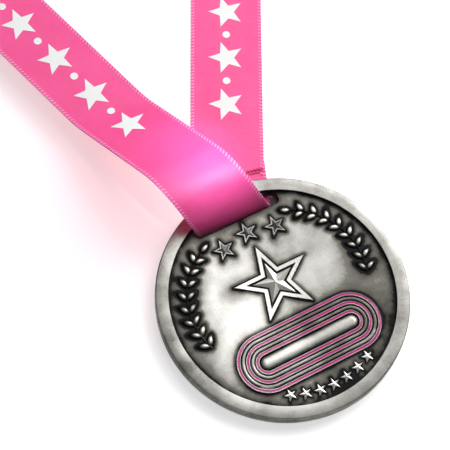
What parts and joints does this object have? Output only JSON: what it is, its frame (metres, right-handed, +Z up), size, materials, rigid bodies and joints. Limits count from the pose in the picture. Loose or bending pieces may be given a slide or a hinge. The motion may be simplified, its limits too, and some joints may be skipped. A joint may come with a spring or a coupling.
{
  "type": "sports finisher medal",
  "caption": "Round die-cast finisher medal with laurel branches, stars and a running track in soft enamel relief, hung by a slot in its top edge on a sewn and folded satin neck ribbon.",
  "frame": {"origin": "centre of the floor of the round recess in the medal's back", "axes": "+X along the medal's slot, +Y from the medal's centre towards its ribbon, +Z up from the table that the medal lies on"},
  "size_m": [0.1037, 0.1783, 0.0176],
  "materials": {
    "casting": "antique silver plating, satin on the raised metal and dark round the relief",
    "pink_enamel": "glossy soft enamel",
    "black_enamel": "glossy soft enamel",
    "ribbon_satin": "woven satin with picot edges",
    "thread": "twisted sewing thread"
  },
  "bodies": {
    "medal": {"medal_body": "casting", "track_enamel_outer": "pink_enamel", "track_enamel_middle": "pink_enamel", "track_enamel_inner": "pink_enamel", "star_enamel_left": "black_enamel", "star_enamel_middle": "black_enamel", "star_enamel_right": "black_enamel"},
    "ribbon_loop": {"ribbon_slot_loop": "ribbon_satin"},
    "ribbon": {"ribbon_lower_end": "ribbon_satin", "ribbon_front_strand": "ribbon_satin", "ribbon_folded_length": "ribbon_satin", "ribbon_back_strand": "ribbon_satin", "seam_thread": "thread"}
  },
  "joints": [
    {"name": "ribbon_slide", "type": "slide", "parent": "medal", "child": "ribbon_loop", "axis": [1, 0, 0], "range_m": [0, 0.0012]},
    {"name": "ribbon_swing", "type": "hinge", "parent": "ribbon_loop", "child": "ribbon", "pos_m": [0, 0.04, 0.0006], "axis": [1, 0, 0], "range_deg": [-150, 150], "deforming": ["ribbon_slot_loop"]}
  ]
}
